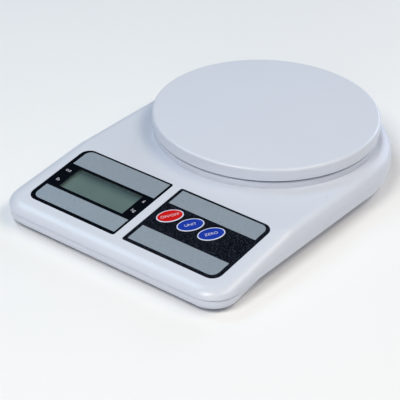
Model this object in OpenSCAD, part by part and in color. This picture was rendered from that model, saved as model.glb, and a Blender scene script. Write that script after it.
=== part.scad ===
// Digital kitchen scale: a flat body with a sloped control panel and a round platter on a load cell.
// Millimetres, +Z up. The origin is on the floor under the middle of the body, and the panel is at -Y.

/* [Body] */
// Width across the round back
body_w = 163.5; // [160:0.5:176]
// Width across the two front corners
front_w = 163.5; // [155:0.5:166]
// Length from the front edge to the back
body_l = 231; // [229:1:245]
// Radius of the front corners seen from above
front_corner_r = 17; // [14:1:22]
// Height of the bottom cover's underside above the floor
stand_h = 1.5; // [1:0.1:2.5]
// Height of the seam between the covers
seam_z = 9.4; // [9.2:0.1:9.5]
// Open width of the seam
seam_gap = 0.3; // [0.2:0.05:0.4]
// Bevel of the two edges along the seam
seam_bevel = 0.3; // [0.2:0.1:0.5]
// Height of the flat deck round the platter
deck_z = 23.3; // [23.1:0.1:26]
// Slope of the control panel in degrees
panel_slope = 7.8; // [6:0.1:8]
// Distance from the front edge to the crease where the panel begins
panel_run = 68; // [66:1:70]
// Wall of the top cover
wall_t = 2.5; // [2:0.1:2.6]
// Wall and floor of the bottom cover
tray_t = 2; // [1.6:0.1:2.4]
// Rounding of the deck's edge
edge_r = 7.5; // [5:0.5:9]
// Rounding of the panel's front edge, measured along the panel
front_edge_run = 8.5; // [6:0.5:9]
// Rounding of the panel's front edge, measured down from the panel
front_edge_drop = 4.5; // [3.8:0.1:4.5]
// Rounding between the tray's sides and its underside
tray_edge_r = 5.5; // [5:0.5:7]
// Set-back of the tray under the top cover at the front
tray_inset_front = 0.4; // [0.3:0.1:1]
// Set-back of the tray under the top cover along the sides and the back
tray_inset_back = 4.5; // [3:0.5:6]

/* [Platter] */
// Diameter of the platter
platter_d = 141; // [136:1:146]
// Height of the platter's rim
platter_h = 7.8; // [7.5:0.1:10]
// Thickness of the platter's top
platter_t = 2.2; // [1.8:0.1:2.6]
// Thickness of the platter's rim
rim_t = 2; // [1.6:0.1:2.6]
// Rounding of the platter's top edge
platter_edge_r = 1.5; // [0.8:0.1:2]
// Running gap under the rim
platter_gap = 1.5; // [1.2:0.1:1.8]
// Distance from the back of the body to the platter's centre
platter_back = 76; // [75:1:80]
// Diameter of the plinth under the platter
plinth_d = 139.6; // [134:0.2:140.2]
// Height of the plinth above the deck
plinth_h = 4; // [3.5:0.1:4.4]
// Free play of the platter before it meets its stop
platter_travel = 0.5; // [0.3:0.1:0.6]

/* [Labels] */
// Width of each label
label_w = 66.8; // [65:0.2:67.4]
// Length of each label along the panel
label_l = 55.5; // [54:0.5:57]
// Thickness of the label film, sunk flush in the cover
label_t = 0.5; // [0.3:0.1:0.6]
// Distance from the middle of the body to each label
label_inner = 3; // [2.6:0.1:4]
// Distance from the crease to the labels
label_back = 0.7; // [0.5:0.1:1.2]
// Rounding of the labels' outer corners
label_outer_r = 6.5; // [4:0.5:8]
// Rounding of the labels' inner corners
label_inner_r = 1.5; // [1:0.5:3]
// Gap round each label in its recess
label_gap = 0.1; // [0.05:0.05:0.2]

/* [Display] */
// Width of the display opening
window_w = 49; // [47:0.5:50]
// Length of the display opening along the panel
window_l = 19.8; // [18:0.1:20.3]
// Distance from the label's inner edge to the opening
window_side = 8.2; // [7.5:0.1:9]
// Distance from the label's front edge to the opening
window_front = 17.8; // [17:0.1:18.5]
// Width of the ledge that carries the clear window
window_ledge = 1; // [0.8:0.1:1.4]
// Thickness of the clear window
window_t = 1.5; // [1.2:0.1:1.5]
// Margin of the display glass round the opening at the sides and the front
glass_margin = 2; // [1.5:0.1:2.4]
// Length of the contact ledge at the back of the display glass
contact_ledge = 3; // [2.6:0.1:3.4]
// Thickness of one of the two glass sheets
sheet_t = 1.1; // [0.8:0.1:1.2]
// Wall of the frame that holds the display glass
holder_t = 1.3; // [1:0.1:1.5]

/* [Keys] */
// Long axis of the oval keys
key_l = 16.2; // [14:0.1:16.6]
// Short axis of the oval keys
key_w = 10.9; // [9:0.1:11.2]
// Turn of the ovals in the panel, in degrees
key_turn = 53; // [40:1:60]
// Distance between neighbouring keys
key_pitch = 14.9; // [14.7:0.1:15.6]
// Distance from the middle of the body to the first key
key_first = 13.8; // [13:0.1:15]
// Distance from the crease to the row of keys
key_back = 25.4; // [24:0.1:26.5]
// Height of the keys above the panel
key_rise = 0.7; // [0.5:0.1:1.2]
// Width of the raised rim on each key
key_rim = 0.9; // [0.6:0.1:1.2]
// Depth of the field inside the rim
key_field = 0.2; // [0.1:0.05:0.3]
// Gap round each key
key_gap = 0.25; // [0.2:0.05:0.3]
// Lip that keeps each key under the cover
key_lip = 0.7; // [0.6:0.05:0.75]
// Travel of the keys
key_travel = 0.4; // [0.3:0.05:0.5]

/* [Board] */
// Depth of the board's top face under the panel
board_depth = 9.5; // [9.2:0.1:9.8]
// Thickness of the board
board_t = 1.6; // [1.2:0.1:1.6]
// Distance from the crease to the board's back edge
board_back = 9; // [8:0.5:10]
// Length of the board along the panel
board_l = 34; // [33:0.5:36]
// Width of a push switch
switch_w = 6; // [5.5:0.1:6.5]
// Height of a switch body
switch_h = 3.5; // [3:0.1:3.8]
// Diameter of a switch plunger
plunger_d = 3.5; // [3:0.1:3.8]
// Height of a plunger above its switch body
plunger_rise = 0.8; // [0.6:0.1:1]

/* [Load cell] */
// Length of the load cell
bar_l = 80; // [76:1:84]
// Width of the load cell
bar_w = 12.7; // [12:0.1:14]
// Height of the load cell
bar_h = 12.7; // [11:0.1:12.9]
// Diameter of the two joined cross holes
bar_hole_d = 9.5; // [8:0.1:10]
// Distance between the two joined cross holes
bar_hole_pitch = 15; // [13:0.5:16]
// Diameter of the threads in the load cell
thread_d = 4; // [3:0.5:5]
// Distance between the two threads at one end
thread_pitch = 15; // [13:0.5:15]
// Distance from the load cell's end to its outer thread
thread_end = 5; // [4.5:0.5:6]
// Height of the seat under the fixed end
seat_z = 6; // [5.8:0.1:6.2]
// Thickness of the spacers at both ends
spacer_t = 1; // [0.8:0.1:1.2]
// Length of the pads that the spacers lie on
pad_l = 26; // [24:0.5:26]
// Thickness of the sealant over the strain gauges
sealant_t = 0.8; // [0.6:0.1:1]
// Width of the four carrier arms
arm_w = 14; // [12:0.5:18]
// Radius of the carrier's arms
arm_r = 52; // [48:1:56]
// Thickness of the carrier
carrier_t = 3.8; // [3:0.1:4]

/* [Batteries] */
// Diameter of a cell
cell_d = 14.2; // [13.8:0.1:14.5]
// Length of a cell with its nub
cell_l = 50.5; // [50:0.1:51]
// Free length of a contact spring
spring_l = 4.7; // [4.4:0.1:5]
// Thickness of the contact plates
contact_t = 0.4; // [0.3:0.05:0.5]
// Play round the cells
cell_gap = 0.3; // [0.2:0.05:0.4]
// Position of the middle of the battery bay, front to back
bay_y = -8; // [-10:1:-6]
// Walls of the battery bay
bay_t = 2.5; // [2.2:0.1:3]
// Width of the ledge above the battery door
door_ledge = 1.5; // [1.2:0.1:1.8]
// Gap round the battery door
door_gap = 0.3; // [0.25:0.05:0.4]
// Thickness of the battery door
door_t = 2; // [1.8:0.1:2]
// Diameter of the door's two hinge pins
door_pin_d = 1.2; // [1:0.1:1.3]

/* [Fasteners and feet] */
// Shank diameter of the case screws
case_screw_d = 3; // [2.5:0.1:3.2]
// Head diameter of the case screws
case_head_d = 5.6; // [5:0.1:5.8]
// Shank diameter of the board screws
board_screw_d = 2; // [1.8:0.1:2.2]
// Shank diameter of the load cell screws
cell_screw_d = 3.9; // [2.9:0.1:3.9]
// Head diameter of the load cell screws
cell_head_d = 7; // [6:0.1:7.2]
// Diameter of the rubber feet
foot_d = 12; // [10:0.5:14]
// Depth of the feet's seats in the tray
foot_seat = 0.6; // [0.4:0.1:0.8]

/* [Hidden] */

white = "#e4e8f0";
rubber = "#3a3a3c";
steel = "#b9bcc0";
smooth = 64;
tiny = 0.01;

// Outline seen from above: a round back, two corner circles and straight sides between them
back_r = body_w / 2;
back_y = body_l / 2 - back_r;
front_x = front_w / 2 - front_corner_r;
front_y = -body_l / 2 + front_corner_r;
corner_dir = [front_x, front_y - back_y];
side_turn = atan2(corner_dir.y, corner_dir.x) + acos((back_r - front_corner_r) / norm(corner_dir));
side_dir = [cos(side_turn), sin(side_turn)];
// Half width of the body's side line at y, for a circle of radius r that lies inset from that line
function side_x(y, r, inset) = (side_dir.y * back_y + back_r - inset - r - side_dir.y * y) / side_dir.x;

// Panel frame: x stays, v runs up the slope with 0 at the crease, w is the height above the panel
crease_y = -body_l / 2 + panel_run;
function panel_point(x, v, w) = [x, crease_y + v * cos(panel_slope) - w * sin(panel_slope),
    deck_z + v * sin(panel_slope) + w * cos(panel_slope)];
deck_corner_flat = 4.5;
deck_corner_r = edge_r + deck_corner_flat;
deck_corner_y = crease_y + deck_corner_r - edge_r;
front_v = (-panel_run - front_edge_drop * sin(panel_slope)) / cos(panel_slope) + front_corner_r;

// Tray
rim_z = seam_z - seam_gap;
tray_floor_z = stand_h + tray_t;
flange_h = 1.5;
flange_lap = 0.7;
tongue_h = 2;
tongue_low_h = 0.8;
tongue_t = 1.2;
tongue_gap = 0.15;
waist_run = 50.5;
waist_r = 12;
waist_y = -body_l / 2 + waist_run;

// Platter and what carries it
platter_y = body_l / 2 - platter_back;
plinth_z = deck_z + plinth_h;
rim_bottom_z = plinth_z + platter_gap;
platter_z = rim_bottom_z + platter_h;
carrier_z = platter_z - platter_t;
bar_z = seat_z + spacer_t;
bar_top_z = bar_z + bar_h;
end_x = bar_l / 2 - thread_end - thread_pitch / 2;
pad_margin = 0.65;
pad_w = bar_w + 2 * pad_margin;
pad_gap = 2.5;
cell_head_h = 2.2;
cell_screw_l = 11;
moving_screw_depth = 9;
stop_play = 0.3;
gauge_gap = 1.5;
gauge_l = 2 * (end_x - pad_l / 2 - gauge_gap);
hook_angles = [45, 135, 225, 315];

// Labels and window, in the panel frame
label_v = -label_back - label_l;
window_x = -label_inner - window_side - window_w;
window_v = label_v + window_front;
ledge_gap = 0.15;
glass_x = window_x - glass_margin;
glass_w = window_w + 2 * glass_margin;
glass_v = window_v - glass_margin;
glass_l = window_l + 2 * glass_margin + contact_ledge;
strip_w = 2.2;
strip_gap = 0.3;
strip_v = glass_v + glass_l - contact_ledge + strip_gap;
holder_inner = 2;

// Keys, switches and board
key_xs = [for (i = [0:2]) key_first + i * key_pitch];
end_arc_r = 0.36 * key_w;
end_arc_x = key_l / 2 - end_arc_r;
arc_step = key_w / 2 - end_arc_r;
side_arc_y = (end_arc_x * end_arc_x - arc_step * arc_step) / (2 * arc_step);
side_arc_r = key_w / 2 + side_arc_y;
arc_join_x = side_arc_r * end_arc_x / norm([end_arc_x, side_arc_y]);
key_top_play = 0.1;
key_lip_t = 1;
plunger_top = -board_depth + switch_h + plunger_rise;
plunger_sunk = 0.7;
plunger_fit = 0.05;
board_margin = 4.2;
board_boss_r = 3.2;
board_boss_gap = 1.4;
board_key_run = 10.7;
board_x = [glass_x - holder_t - board_boss_gap - board_boss_r - board_margin,
    key_xs[2] + board_key_run + board_margin];
board_holes = [for (x = [board_x[0] + board_margin, board_x[1] - board_margin],
    v = [-board_back - board_margin, -board_back - board_l + board_margin]) [x, v]];
board_bottom = -board_depth - board_t;
board_head_h = 1.4;
board_head_d = 4;
chip_r = 7;
chip_h = 1.6;
chip_back = 19;
chip_at = [-35, -board_back - chip_back];
capacitor_r = 2.5;
capacitor_h = 5.5;
capacitor_back = 6;
crystal_w = 4;
crystal_h = 3.4;
crystal_back = [24, 14];

// Case screws and feet
boss_r = 3.5;
boss_skin = 1;
front_boss_set = 1.5;
front_boss_top = deck_z - boss_skin
    - (crease_y - front_y + front_boss_set + boss_r) * tan(panel_slope);
middle_boss_run = 13;
middle_boss_side = 5;
rear_boss_inset = 16;
tray_boss_r = 4.8;
case_head_h = 2.2;
head_play = 0.3;
case_seat_z = 6;
case_screw_l = 6.5;
cell_seat_skin = 1.8;
moving_head_depth = 2.4;
screw_fit = 0.05;
screw_end_room = 0.5;
rear_turn = 50;
rear_boss_r = back_r - rear_boss_inset;
middle_boss_y = deck_corner_y + middle_boss_run;
middle_boss_x = side_x(middle_boss_y, deck_corner_r, 0) - middle_boss_side;
front_bosses = [for (s = [-1, 1]) [s * front_x, front_y - front_boss_set]];
middle_bosses = [for (s = [-1, 1]) [s * middle_boss_x, middle_boss_y]];
rear_bosses = [for (s = [-1, 1]) [s * rear_boss_r * cos(rear_turn),
    back_y + rear_boss_r * sin(rear_turn)]];
foot_front_set = [3, 13];
foot_front = [front_x - foot_front_set.x, front_y + foot_front_set.y];
foot_back_turn = 36;
foot_back_inset = 19.5;
foot_back_r = back_r - foot_back_inset;
foot_back = [foot_back_r * cos(foot_back_turn), back_y + foot_back_r * sin(foot_back_turn)];

// Carrier, hooks and ribs
hub_r = 24;
hook_t = 1.2;
hook_w = 8;
hook_play = 0.2;
rib_t = 1.2;
rib_h = 1.5;
rib_x = 52;
rib_y = [-46, 8];
platter_ribs = 8;
platter_rib_r = 58;
platter_rib_h = 2;
sealant_side = 2;

// Battery bay
bay_l = cell_l + 2 * contact_t + spring_l;
cell_pitch = cell_d + 2 * cell_gap;
bay_w = 2 * cell_pitch;
door_z = stand_h + door_t;
ledge_play = 0.1;
bay_z = door_z + ledge_play;
cell_z = door_z + cell_gap + cell_d / 2;
bay_top_z = cell_z + cell_d / 2 + cell_gap;
bay_roof_t = 1.5;
plate_w = 11;
plate_z = [cell_z - plate_w / 2, cell_z + plate_w / 2];
nub_d = 5.4;
nub_h = 1.3;
tab_w = 3;
tab_out = 2.5;
tab_z = cell_z - 1.2;
tab_pad_h = 3.6;
slot_play = 0.3;
door_pin_y = bay_y + bay_w / 2 + door_ledge - door_gap - door_t / 2;
door_pin_z = stand_h + door_t / 2;
door_pin_l = 1;
pin_fit = 0.05;
latch_w = 12;
latch_t = 1;
latch_set = 0.7;
latch_h = 4;
latch_top = door_z + latch_h;
latch_room = 1.4;
grip_w = 18;
grip_r = 8;
grip_depth = 0.8;

// Wires: the routes of the cable and of the two battery wires, each ending square on the board
cable_d = 2.4;
wire_d = 1.4;
wire_lead = 3;
wire_sides = 8;
bend_steps = 5;
wire_lift = 0.5;
cable_z = tray_floor_z + cable_d / 2 + wire_lift;
wire_z = tray_floor_z + wire_d / 2 + wire_lift;
bay_back_y = bay_y + bay_w / 2 + bay_t;
bay_side_x = bay_l / 2 + bay_t;
tab_x = bay_side_x + tab_out;
crease_run = 2.5;
wire_end_v = -board_back - 3;
cable_x = -8;
cable_gap = 3.5;
cable_run = 5;
cable_back = 15.5;
cable_side = 6;
cable_end = [-24, wire_end_v];
sealant_y = platter_y - bar_w / 2 - sealant_side;
cable_exit_z = bar_z + bar_h / 2;
cable_route = [[cable_x, sealant_y, cable_exit_z], [cable_x, sealant_y - cable_run, cable_exit_z],
    [2 * cable_x, (sealant_y + bay_back_y) / 2, cable_z + cable_d],
    [-bay_side_x - cable_gap, bay_back_y + cable_gap, cable_z], [-bay_side_x - 2 * cable_gap, bay_y, cable_z],
    [-bay_side_x - 2 * cable_gap, crease_y + cable_back, cable_z],
    [cable_end.x - cable_side, crease_y - crease_run, cable_z + wire_lift],
    panel_point(cable_end.x, cable_end.y, board_bottom - wire_lead),
    panel_point(cable_end.x, cable_end.y, board_bottom)];
red_y = bay_y - cell_pitch / 2;
red_out = 4;
red_back = 9;
red_side = 8;
red_end = [20, wire_end_v];
red_route = [[tab_x, red_y, tab_z], [tab_x + red_out, red_y, tab_z],
    [tab_x + 2 * red_out, red_y - red_back, wire_z + wire_d], [tab_x + red_out, crease_y + red_back, wire_z],
    [red_end.x + red_side, crease_y - crease_run, wire_z + wire_lift],
    panel_point(red_end.x, red_end.y, board_bottom - wire_lead),
    panel_point(red_end.x, red_end.y, board_bottom)];
black_y = bay_y + cell_pitch / 2;
black_out = 5;
black_back = 12;
black_side = 10;
black_end = [26, wire_end_v];
black_route = [[tab_x, black_y, tab_z], [tab_x + black_out, black_y, tab_z],
    [tab_x + 2 * black_out, black_y - black_back, wire_z + wire_d],
    [tab_x + 2 * black_out, crease_y + black_back, wire_z],
    [black_end.x + black_side, crease_y - crease_run, wire_z + wire_lift],
    panel_point(black_end.x, black_end.y, board_bottom - wire_lead),
    panel_point(black_end.x, black_end.y, board_bottom)];

// Springs: a wire that winds in from the plate towards the cell
spring_wire_d = 0.7;
spring_turns = 3;
spring_r = [4.4, 2.6];
spring_steps = 8;
spring_sides = 6;

function unit(v) = v / norm(v);
// Straight runs with a round bend at each inner point of a route
function rounded_route(p) = concat([p[0]],
    [for (i = [1:len(p) - 2], k = [0:bend_steps])
        let (t = k / bend_steps, a = (p[i - 1] + p[i]) / 2, c = (p[i] + p[i + 1]) / 2)
        (1 - t) * (1 - t) * a + 2 * t * (1 - t) * p[i] + t * t * c],
    [p[len(p) - 1]]);
// Points of a path without those that repeat
function distinct(p) = [for (i = [0:len(p) - 1]) if (i == 0 || norm(p[i] - p[i - 1]) > tiny) p[i]];
function directions(p) = [for (i = [0:len(p) - 1])
    unit(p[min(i + 1, len(p) - 1)] - p[max(i - 1, 0)])];
function square_to(n, t) = unit(n - t * (n * t));

module tube(path, r, sides) {
    p = distinct(path);
    t = directions(p);
    last = len(p) - 1;
    start = abs(t[0].z) < 0.9 ? [0, 0, 1] : [1, 0, 0];
    n = [for (i = 0, m = square_to(start, t[0]); i <= last;
        i = i + 1, m = i <= last ? square_to(m, t[i]) : m) m];
    points = [for (i = [0:last], j = [0:sides - 1])
        let (a = 360 * j / sides) p[i] + r * (cos(a) * n[i] + sin(a) * cross(t[i], n[i]))];
    walls = [for (i = [0:last - 1], j = [0:sides - 1])
        let (k = (j + 1) % sides, a = i * sides, b = a + sides)
        each [[a + j, b + j, b + k], [a + j, b + k, a + k]]];
    start_cap = [for (j = [1:sides - 2]) [0, j, j + 1]];
    end_cap = [for (j = [1:sides - 2]) [last * sides, last * sides + j + 1, last * sides + j]];
    polyhedron(points, concat(walls, start_cap, end_cap));
}

module on_panel() {
    translate([0, crease_y, deck_z]) rotate([panel_slope, 0, 0]) children();
}

module block(x, y, z) {
    translate([x[0], y[0], z[0]]) cube([x[1] - x[0], y[1] - y[0], z[1] - z[0]]);
}

module mirrored() {
    children();
    mirror([1, 0, 0]) children();
}

// A disc from z0 to z1 whose top edge is rounded over run and drop, and whose bottom edge can be bevelled
module domed_disc(r, z0, z1, run, drop, facets, bevel = 0) {
    steps = 8;
    arc = [for (i = [0:steps]) [r - run + run * cos(90 * i / steps), z1 - drop + drop * sin(90 * i / steps)]];
    rotate_extrude($fn = facets) polygon(concat([[0, z0], [r - bevel, z0], [r, z0 + bevel]], arc,
        [[0, z1]]));
}

// A disc from z0 to z1 whose bottom edge is rounded, and whose top edge can be bevelled
module dished_disc(r, z0, z1, round_r, facets, bevel = 0) {
    steps = 7;
    arc = [for (i = [0:steps]) [r - round_r + round_r * sin(90 * i / steps),
        z0 + round_r - round_r * cos(90 * i / steps)]];
    rotate_extrude($fn = facets) polygon(concat([[0, z0]], arc, [[r, z1 - bevel],
        [r - bevel, z1], [0, z1]]));
}

module outline(inset) {
    r = back_r - inset;
    c = front_corner_r - inset;
    translate([0, back_y]) circle(r, $fn = 128);
    mirrored() translate([front_x, front_y]) circle(c, $fn = smooth);
    right = [[r * side_dir.x, back_y + r * side_dir.y],
        [front_x + c * side_dir.x, front_y + c * side_dir.y], [front_x, front_y - c]];
    left = [for (i = [2:-1:0]) [-right[i].x, right[i].y]];
    polygon(concat(right, left));
}

module ring(outer, inner, z0, z1) {
    translate([0, 0, z0]) linear_extrude(z1 - z0) difference() {
        outline(outer);
        outline(inner);
    }
}

// Rounded block of the top cover, drawn in by inset on every side
module cover_block(inset, base_z, bevel = 0) {
    hull() {
        translate([0, back_y, 0])
            domed_disc(back_r - inset, base_z, deck_z - inset, edge_r - inset, edge_r - inset, 96,
                bevel);
        mirrored() {
            translate([side_x(deck_corner_y, deck_corner_r, 0), deck_corner_y, 0])
                domed_disc(deck_corner_r - inset, base_z, deck_z - inset, edge_r - inset,
                    edge_r - inset, 32, bevel);
            translate([front_x, front_y, base_z])
                cylinder(r1 = front_corner_r - inset - bevel, r2 = front_corner_r - inset,
                    h = max(bevel, tiny), $fn = 32);
            on_panel() translate([front_x, front_v, 0])
                domed_disc(front_corner_r - inset, -front_edge_drop, -inset,
                    front_edge_run - inset, front_edge_drop - inset, 32);
        }
    }
}

// Rounded block of the tray: a full front end and a narrower body behind the waist
module tray_block(inset, z0, z1, round_r, bevel = 0) {
    module waist() {
        mirrored() translate([side_x(waist_y, waist_r, tray_inset_back), waist_y, 0])
            dished_disc(waist_r - inset, z0, z1, round_r, 32, bevel);
    }
    hull() {
        waist();
        mirrored() translate([front_x, front_y, 0])
            dished_disc(front_corner_r - tray_inset_front - inset, z0, z1, round_r, 32, bevel);
    }
    hull() {
        waist();
        translate([0, back_y, 0])
            dished_disc(back_r - tray_inset_back - inset, z0, z1, round_r, 96, bevel);
    }
}

// Label outline in the panel frame, right-hand side, with large outer and small inner corners
module label_shape(grow) {
    x0 = label_inner - grow;
    x1 = label_inner + label_w + grow;
    v0 = label_v - grow;
    v1 = -label_back + grow;
    a = label_inner_r + grow;
    b = label_outer_r + grow;
    polygon([[x0 + a, v0], [x1 - b, v0], [x1, v0 + b], [x1, v1 - b], [x1 - b, v1],
        [x0 + a, v1], [x0, v1 - a], [x0, v0 + a]]);
    for (v = [v0 + a, v1 - a]) translate([x0 + a, v]) circle(a, $fn = smooth);
    for (v = [v0 + b, v1 - b]) translate([x1 - b, v]) circle(b, $fn = smooth);
}

// Oval of four arcs, turned as the keys are
module key_shape(grow) {
    rotate(key_turn) {
        for (s = [-1, 1]) translate([s * end_arc_x, 0]) circle(end_arc_r + grow, $fn = smooth);
        intersection() {
            square([2 * arc_join_x, 4 * key_w], center = true);
            translate([0, -side_arc_y]) circle(side_arc_r + grow, $fn = 128);
            translate([0, side_arc_y]) circle(side_arc_r + grow, $fn = 128);
        }
    }
}

module at_key(i) {
    on_panel() translate([key_xs[i], -key_back, 0]) children();
}

module slab(z0, z1) {
    translate([0, 0, z0]) linear_extrude(z1 - z0) children();
}

module rod(r, z0, z1) {
    translate([0, 0, z0]) cylinder(r = r, h = z1 - z0, $fn = smooth);
}

module at_platter() {
    translate([0, platter_y, 0]) children();
}

// The two screw places of one end of the load cell: side -1 is fixed, side 1 moves
module at_threads(side) {
    for (k = [-1, 1]) at_platter() translate([side * end_x + k * thread_pitch / 2, 0, 0]) children();
}

// Round plinth under the platter, with a rounded top edge
module plinth() {
    round_r = 1;
    r = plinth_d / 2;
    at_platter() rotate_extrude($fn = 128) {
        translate([0, deck_z - wall_t]) square([r - round_r, plinth_h + wall_t]);
        translate([0, deck_z - wall_t]) square([r, plinth_h + wall_t - round_r]);
        translate([r - round_r, plinth_z - round_r]) circle(round_r, $fn = smooth);
    }
}

module cover_shell() {
    difference() {
        union() {
            difference() {
                cover_block(0, seam_z, seam_bevel);
                cover_block(wall_t, seam_z - 1);
            }
            plinth();
        }
        at_platter() rod(plinth_d / 2 - wall_t, seam_z, plinth_z - wall_t);
    }
}

module cover_bosses() {
    for (p = front_bosses) translate(p) rod(boss_r, seam_z, front_boss_top);
    for (p = middle_bosses) translate(p) rod(boss_r, seam_z, deck_z - boss_skin);
    for (p = rear_bosses) translate(p) rod(boss_r, seam_z, plinth_z - boss_skin);
    on_panel() for (p = board_holes) translate(p) rod(board_boss_r, -board_depth, -wall_t + 0.5);
}

// Everything cut from the panel: label recesses, window pocket and opening, board screw holes
module panel_cuts() {
    lens_room = window_ledge + ledge_gap;
    slab(-label_t, 1) label_shape(label_gap);
    mirror([1, 0, 0]) slab(-label_t, 1) label_shape(label_gap);
    block([window_x - lens_room, window_x + window_w + lens_room],
        [window_v - lens_room, window_v + window_l + lens_room], [-label_t - window_t, 0]);
    block([window_x, window_x + window_w], [window_v, window_v + window_l], [-wall_t - 1, 0]);
    for (p = board_holes) translate(p) rod(board_screw_d / 2 + screw_fit, -board_depth - 1, -wall_t);
}

module top_cover() {
    color(white) difference() {
        union() {
            cover_shell();
            cover_bosses();
        }
        at_platter() translate([end_x, 0, deck_z])
            cube([pad_l + 2 * pad_gap, pad_w + 2 * pad_gap, 4 * plinth_h], center = true);
        on_panel() panel_cuts();
        for (i = [0:2]) at_key(i) slab(-wall_t - 1, 1) key_shape(key_gap);
        for (p = concat(front_bosses, middle_bosses, rear_bosses)) translate(p)
            rod(case_screw_d / 2 + screw_fit, seam_z - 1, case_seat_z + case_screw_l + screw_end_room);
    }
}

// Walls, roof and end slots of the battery bay
module battery_bay() {
    block([-bay_side_x, bay_side_x], [bay_y - bay_w / 2 - bay_t, bay_back_y],
        [stand_h, bay_top_z + bay_roof_t]);
}

module battery_bay_room() {
    block([-bay_l / 2, bay_l / 2], [bay_y - bay_w / 2, bay_y + bay_w / 2], [stand_h - 1, bay_top_z]);
    block([-bay_l / 2 - door_ledge, bay_l / 2 + door_ledge],
        [bay_y - bay_w / 2 - door_ledge, bay_y + bay_w / 2 + door_ledge], [stand_h - 1, bay_z]);
    for (s = [-1, 1]) translate([0, bay_y + s * cell_pitch / 2, 0])
        block([bay_l / 2 - 1, bay_side_x + 1], [-tab_w / 2 - slot_play, tab_w / 2 + slot_play],
            [tab_z - contact_t / 2 - slot_play, tab_z + contact_t / 2 + slot_play]);
    translate([0, door_pin_y, door_pin_z]) rotate([0, 90, 0])
        cylinder(r = door_pin_d / 2 + pin_fit, h = bay_l + 2 * (door_ledge + door_pin_l), center = true,
            $fn = smooth);
    block([-latch_w / 2 - slot_play, latch_w / 2 + slot_play],
        [bay_y - bay_w / 2 - latch_room, bay_y], [stand_h, latch_top + slot_play]);
}

// Seat under the fixed end of the load cell and the stop under its moving end
module cell_seats() {
    at_platter() {
        block([-end_x - pad_l / 2, -end_x + pad_l / 2], [-pad_w / 2, pad_w / 2], [stand_h, seat_z]);
        block([end_x - pad_l / 4, end_x + pad_l / 4], [-pad_w / 2, pad_w / 2],
            [stand_h, bar_z - platter_travel - stop_play]);
    }
}

// Tongue that locates the top cover: low all round, and higher behind the waist
module tray_tongue() {
    inset = wall_t + tongue_gap;
    ring(inset, inset + tongue_t, rim_z - tiny, rim_z + tongue_low_h);
    difference() {
        ring(inset, inset + tongue_t, rim_z, rim_z + tongue_h);
        block([-body_w, body_w], [-body_l, waist_y], [0, deck_z]);
    }
}

// Low ribs that stiffen the tray's floor
module tray_ribs() {
    for (s = [-1, 1])
        block([s * rib_x - rib_t / 2, s * rib_x + rib_t / 2], rib_y, [stand_h, tray_floor_z + rib_h]);
}

module bottom_cover() {
    bosses = concat(front_bosses, middle_bosses, rear_bosses);
    color(white) difference() {
        union() {
            difference() {
                tray_block(0, stand_h, rim_z, tray_edge_r, seam_bevel);
                tray_block(tray_t, tray_floor_z, rim_z + 1, tray_edge_r - tray_t);
            }
            ring(wall_t - flange_lap, wall_t + tongue_gap + tongue_t, rim_z - flange_h, rim_z);
            tray_tongue();
            for (p = bosses) translate(p) rod(tray_boss_r, stand_h, seam_z);
            battery_bay();
            cell_seats();
            tray_ribs();
        }
        battery_bay_room();
        for (p = bosses) translate(p) {
            rod(case_head_d / 2 + head_play, stand_h - 1, case_seat_z);
            rod(case_screw_d / 2 + head_play, stand_h, seam_z + 1);
        }
        at_threads(-1) {
            rod(cell_head_d / 2 + head_play, stand_h - 1, seat_z - cell_seat_skin);
            rod(cell_screw_d / 2 + head_play, stand_h, seat_z + 1);
        }
        at_feet() rod(foot_d / 2 + head_play / 2, stand_h - 1, stand_h + foot_seat);
    }
}

module platter_profile() {
    r = platter_d / 2;
    e = platter_edge_r;
    difference() {
        union() {
            translate([0, rim_bottom_z]) square([r - e, platter_h]);
            translate([0, rim_bottom_z]) square([r, platter_h - e]);
            translate([r - e, platter_z - e]) circle(e, $fn = smooth);
        }
        translate([-1, rim_bottom_z - 1]) square([r - rim_t + 1, carrier_z - rim_bottom_z + 1]);
    }
}

// A hook that grips the end of a carrier arm from outside
module platter_hook() {
    barb_z = carrier_z - carrier_t - hook_play - hook_t;
    block([arm_r + hook_play, arm_r + hook_play + hook_t], [-hook_w / 2, hook_w / 2],
        [barb_z, carrier_z + tiny]);
    block([arm_r - hook_t, arm_r + hook_play + hook_t], [-hook_w / 2, hook_w / 2],
        [barb_z, barb_z + hook_t]);
}

module platter() {
    color(white) at_platter() {
        rotate_extrude($fn = 192) platter_profile();
        for (a = hook_angles) rotate(a) platter_hook();
        difference() {
            rod(platter_rib_r + rib_t / 2, carrier_z - platter_rib_h, carrier_z + tiny);
            rod(platter_rib_r - rib_t / 2, carrier_z - 2 * platter_rib_h, carrier_z + 1);
        }
        for (k = [0:platter_ribs - 1]) rotate(360 * k / platter_ribs)
            block([platter_rib_r, platter_d / 2 - rim_t / 2], [-rib_t / 2, rib_t / 2],
                [carrier_z - platter_rib_h, carrier_z + tiny]);
    }
}

module platform_carrier() {
    color(white) difference() {
        at_platter() {
            for (a = hook_angles) rotate(a)
                block([0, arm_r], [-arm_w / 2, arm_w / 2], [carrier_z - carrier_t, carrier_z]);
            rod(hub_r, carrier_z - carrier_t, carrier_z);
            block([0, end_x], [-pad_w / 2, pad_w / 2], [carrier_z - carrier_t, carrier_z]);
            block([end_x - pad_l / 2, end_x + pad_l / 2], [-pad_w / 2, pad_w / 2],
                [bar_top_z + spacer_t, carrier_z]);
        }
        at_threads(1) {
            rod(cell_head_d / 2 + head_play, carrier_z - moving_head_depth, carrier_z + 1);
            rod(cell_screw_d / 2 + head_play, bar_top_z, carrier_z);
        }
    }
}

module spacer(side, z) {
    color(steel) difference() {
        at_platter() block([side * end_x - pad_l / 2, side * end_x + pad_l / 2], [-bar_w / 2, bar_w / 2],
            [z, z + spacer_t]);
        at_threads(side) rod(cell_screw_d / 2 + head_play, z - 1, z + spacer_t + 1);
    }
}

module upper_spacer() {
    spacer(1, bar_top_z);
}

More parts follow.
